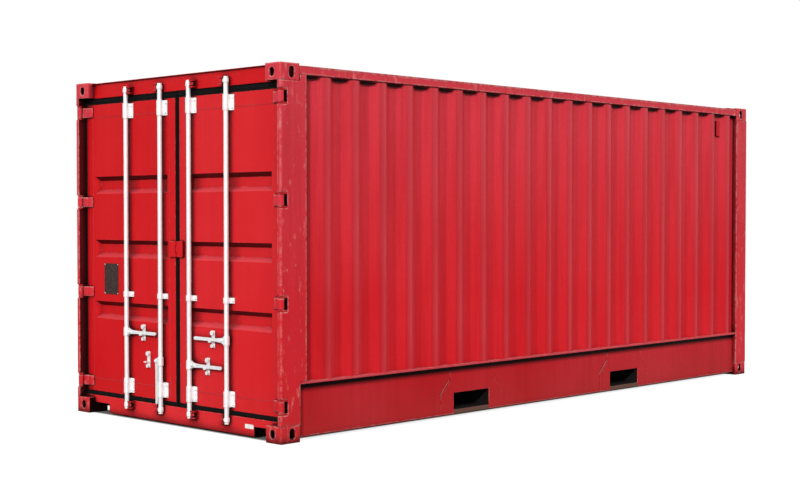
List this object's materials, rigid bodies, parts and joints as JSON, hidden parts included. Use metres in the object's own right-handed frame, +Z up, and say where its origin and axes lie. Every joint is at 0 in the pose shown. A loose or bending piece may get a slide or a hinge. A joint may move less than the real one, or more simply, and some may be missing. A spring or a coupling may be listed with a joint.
{
  "type": "twenty-foot dry cargo shipping container",
  "caption": "Corrugated steel shipping container with cast corners, fork pockets and hinged double doors with turning locking bars and lifting handles.",
  "frame": {"origin": "centre of the box at the plane of the lower corner castings' feet", "axes": "+X from the doors to the blind end, +Y to the left as seen by a person who faces the doors, +Z up"},
  "size_m": [6.058, 2.438, 2.591],
  "materials": {
    "red_paint": "weathered satin paint",
    "door_paint": "weathered satin paint",
    "galvanised_steel": "hot-dip galvanised, dull",
    "rubber_seal": "matt black rubber",
    "plywood": "worn oiled plywood"
  },
  "bodies": {
    "box": {"door_end_castings": "red_paint", "blind_end_castings": "red_paint", "door_post_outer_left": "red_paint", "door_post_outer_right": "red_paint", "door_post_channel_left": "red_paint", "door_post_channel_right": "red_paint", "hinge_lugs_left": "red_paint", "hinge_lugs_right": "red_paint", "blind_post_left": "red_paint", "blind_post_right": "red_paint", "top_rail_left": "red_paint", "top_rail_right": "red_paint", "bottom_rail_left": "red_paint", "bottom_rail_right": "red_paint", "side_wall_left": "red_paint", "side_wall_right": "red_paint", "door_header": "red_paint", "door_sill": "red_paint", "blind_header": "red_paint", "blind_sill": "red_paint", "blind_wall": "red_paint", "roof_panel": "red_paint", "roof_corner_plates": "red_paint", "floor_boards": "plywood", "cross_members": "red_paint", "fork_tunnels": "red_paint", "ventilators": "red_paint", "cam_keepers_bottom": "red_paint", "cam_keepers_top": "red_paint"},
    "left_door": {"door_frame_left": "door_paint", "door_panel_left": "door_paint", "door_gasket_left": "rubber_seal", "hinge_blades_left": "red_paint", "bar_guides_left": "galvanised_steel", "handle_catches_left": "galvanised_steel", "rack_block_left": "door_paint"},
    "right_door": {"door_frame_right": "door_paint", "door_panel_right": "door_paint", "door_gasket_right": "rubber_seal", "hinge_blades_right": "red_paint", "bar_guides_right": "galvanised_steel", "handle_catches_right": "galvanised_steel", "rack_block_right": "door_paint"},
    "bar_1": {"lock_bar_1": "galvanised_steel", "lock_cams_1": "galvanised_steel"},
    "handle_1": {"handle_1": "galvanised_steel"},
    "bar_2": {"lock_bar_2": "galvanised_steel", "lock_cams_2": "galvanised_steel"},
    "handle_2": {"handle_2": "galvanised_steel"},
    "bar_3": {"lock_bar_3": "galvanised_steel", "lock_cams_3": "galvanised_steel"},
    "handle_3": {"handle_3": "galvanised_steel"},
    "bar_4": {"lock_bar_4": "galvanised_steel", "lock_cams_4": "galvanised_steel"},
    "handle_4": {"handle_4": "galvanised_steel"}
  },
  "joints": [
    {"name": "left_door_swing", "type": "hinge", "parent": "box", "child": "left_door", "pos_m": [-3.006, 1.196, 0], "axis": [0, 0, -1], "range_deg": [0, 264]},
    {"name": "right_door_swing", "type": "hinge", "parent": "box", "child": "right_door", "pos_m": [-3.006, -1.196, 0], "axis": [0, 0, 1], "range_deg": [0, 264]},
    {"name": "bar_1_turn", "type": "hinge", "parent": "left_door", "child": "bar_1", "pos_m": [-2.994, 0.6, 0], "axis": [0, 0, 1], "range_deg": [-110, 0]},
    {"name": "bar_2_turn", "type": "hinge", "parent": "left_door", "child": "bar_2", "pos_m": [-2.994, 0.173, 0], "axis": [0, 0, -1], "range_deg": [-110, 0]},
    {"name": "bar_3_turn", "type": "hinge", "parent": "right_door", "child": "bar_3", "pos_m": [-2.994, -0.173, 0], "axis": [0, 0, 1], "range_deg": [-110, 0]},
    {"name": "bar_4_turn", "type": "hinge", "parent": "right_door", "child": "bar_4", "pos_m": [-2.994, -0.6, 0], "axis": [0, 0, -1], "range_deg": [-110, 0]},
    {"name": "handle_1_lift", "type": "hinge", "parent": "bar_1", "child": "handle_1", "pos_m": [-2.994, 0.554, 0.666], "axis": [-1, 0, 0], "range_deg": [0, 45]},
    {"name": "handle_2_lift", "type": "hinge", "parent": "bar_2", "child": "handle_2", "pos_m": [-2.994, 0.219, 0.466], "axis": [1, 0, 0], "range_deg": [0, 60]},
    {"name": "handle_3_lift", "type": "hinge", "parent": "bar_3", "child": "handle_3", "pos_m": [-2.994, -0.219, 0.466], "axis": [-1, 0, 0], "range_deg": [0, 25]},
    {"name": "handle_4_lift", "type": "hinge", "parent": "bar_4", "child": "handle_4", "pos_m": [-2.994, -0.554, 0.666], "axis": [1, 0, 0], "range_deg": [0, 45]}
  ]
}
